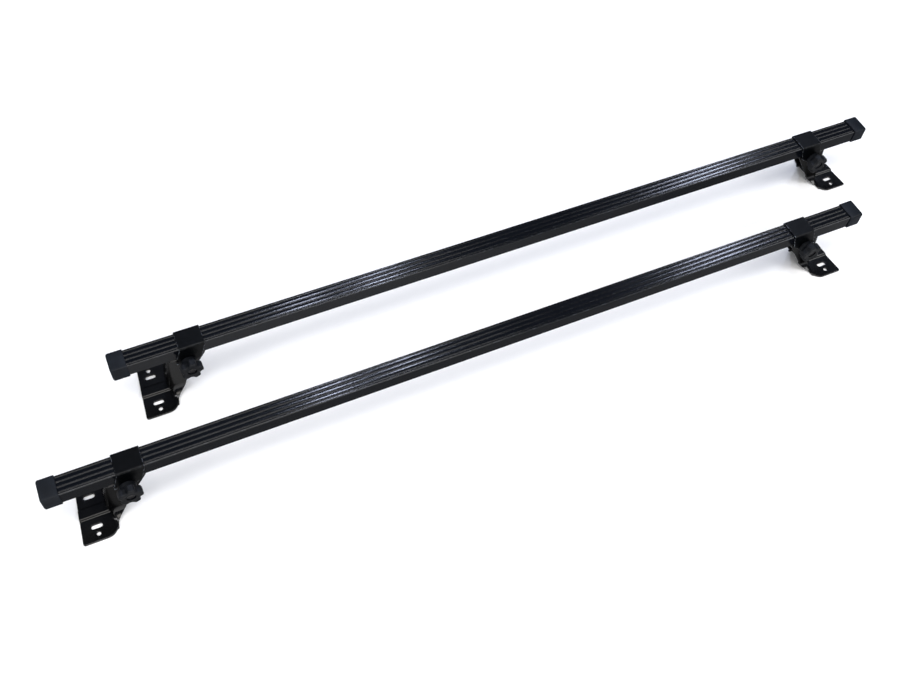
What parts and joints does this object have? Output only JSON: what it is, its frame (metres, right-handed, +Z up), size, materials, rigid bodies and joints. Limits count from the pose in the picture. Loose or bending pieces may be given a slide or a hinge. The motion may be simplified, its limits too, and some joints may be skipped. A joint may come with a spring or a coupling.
{
  "type": "ladder rack",
  "caption": "Low-profile ladder rack: separate rectangular steel crossbars on pressed feet, held by straps and lobed hand knobs.",
  "frame": {"origin": "centre of the rack's bounding box at the underside of the feet", "axes": "+X along the crossbars, +Y from the front bar to the rear bar, +Z up"},
  "size_m": [1.673, 0.293, 0.1203],
  "materials": {
    "black_coated_steel_tube": "gloss black coat on steel tube",
    "black_coated_pressed_steel": "gloss black coat on pressed sheet steel",
    "black_strap_steel": "satin black coat on strap steel",
    "end_cap_plastic": "moulded, fine matt grain",
    "knob_plastic": "moulded, fine matt grain",
    "black_plated_steel": "black zinc plate on steel hardware"
  },
  "bodies": {
    "front_bar": {"front_crossbar": "black_coated_steel_tube", "front_left_end_cap": "end_cap_plastic", "front_right_end_cap": "end_cap_plastic"},
    "rear_bar": {"rear_crossbar": "black_coated_steel_tube", "rear_left_end_cap": "end_cap_plastic", "rear_right_end_cap": "end_cap_plastic"},
    "front_left_foot": {"front_left_foot_bracket": "black_coated_pressed_steel", "front_left_clamp_strap": "black_strap_steel", "front_left_washer": "black_plated_steel", "front_left_nut": "black_plated_steel"},
    "front_left_knob_and_bolt": {"front_left_knob": "knob_plastic", "front_left_clamp_bolt": "black_plated_steel"},
    "front_right_foot": {"front_right_foot_bracket": "black_coated_pressed_steel", "front_right_clamp_strap": "black_strap_steel", "front_right_washer": "black_plated_steel", "front_right_nut": "black_plated_steel"},
    "front_right_knob_and_bolt": {"front_right_knob": "knob_plastic", "front_right_clamp_bolt": "black_plated_steel"},
    "rear_left_foot": {"rear_left_foot_bracket": "black_coated_pressed_steel", "rear_left_clamp_strap": "black_strap_steel", "rear_left_washer": "black_plated_steel", "rear_left_nut": "black_plated_steel"},
    "rear_left_knob_and_bolt": {"rear_left_knob": "knob_plastic", "rear_left_clamp_bolt": "black_plated_steel"},
    "rear_right_foot": {"rear_right_foot_bracket": "black_coated_pressed_steel", "rear_right_clamp_strap": "black_strap_steel", "rear_right_washer": "black_plated_steel", "rear_right_nut": "black_plated_steel"},
    "rear_right_knob_and_bolt": {"rear_right_knob": "knob_plastic", "rear_right_clamp_bolt": "black_plated_steel"}
  },
  "joints": [
    {"name": "rear_bar_spacing", "type": "slide", "parent": "front_bar", "child": "rear_bar", "axis": [0, 1, 0], "range_m": [-0.04, 0.8]},
    {"name": "front_left_foot_slide", "type": "slide", "parent": "front_bar", "child": "front_left_foot", "axis": [1, 0, 0], "range_m": [-0.055, 0.45]},
    {"name": "front_left_knob_turn", "type": "hinge", "parent": "front_left_foot", "child": "front_left_knob_and_bolt", "pos_m": [-0.7135, -0.0925, 0.084], "axis": [0, 1, 0], "continuous": true},
    {"name": "front_right_foot_slide", "type": "slide", "parent": "front_bar", "child": "front_right_foot", "axis": [1, 0, 0], "range_m": [-0.45, 0.055]},
    {"name": "front_right_knob_turn", "type": "hinge", "parent": "front_right_foot", "child": "front_right_knob_and_bolt", "pos_m": [0.5645, -0.0925, 0.084], "axis": [0, 1, 0], "continuous": true},
    {"name": "rear_left_foot_slide", "type": "slide", "parent": "rear_bar", "child": "rear_left_foot", "axis": [1, 0, 0], "range_m": [-0.055, 0.45]},
    {"name": "rear_left_knob_turn", "type": "hinge", "parent": "rear_left_foot", "child": "rear_left_knob_and_bolt", "pos_m": [-0.5645, 0.0925, 0.084], "axis": [0, 1, 0], "continuous": true},
    {"name": "rear_right_foot_slide", "type": "slide", "parent": "rear_bar", "child": "rear_right_foot", "axis": [1, 0, 0], "range_m": [-0.45, 0.055]},
    {"name": "rear_right_knob_turn", "type": "hinge", "parent": "rear_right_foot", "child": "rear_right_knob_and_bolt", "pos_m": [0.7135, 0.0925, 0.084], "axis": [0, 1, 0], "continuous": true}
  ]
}
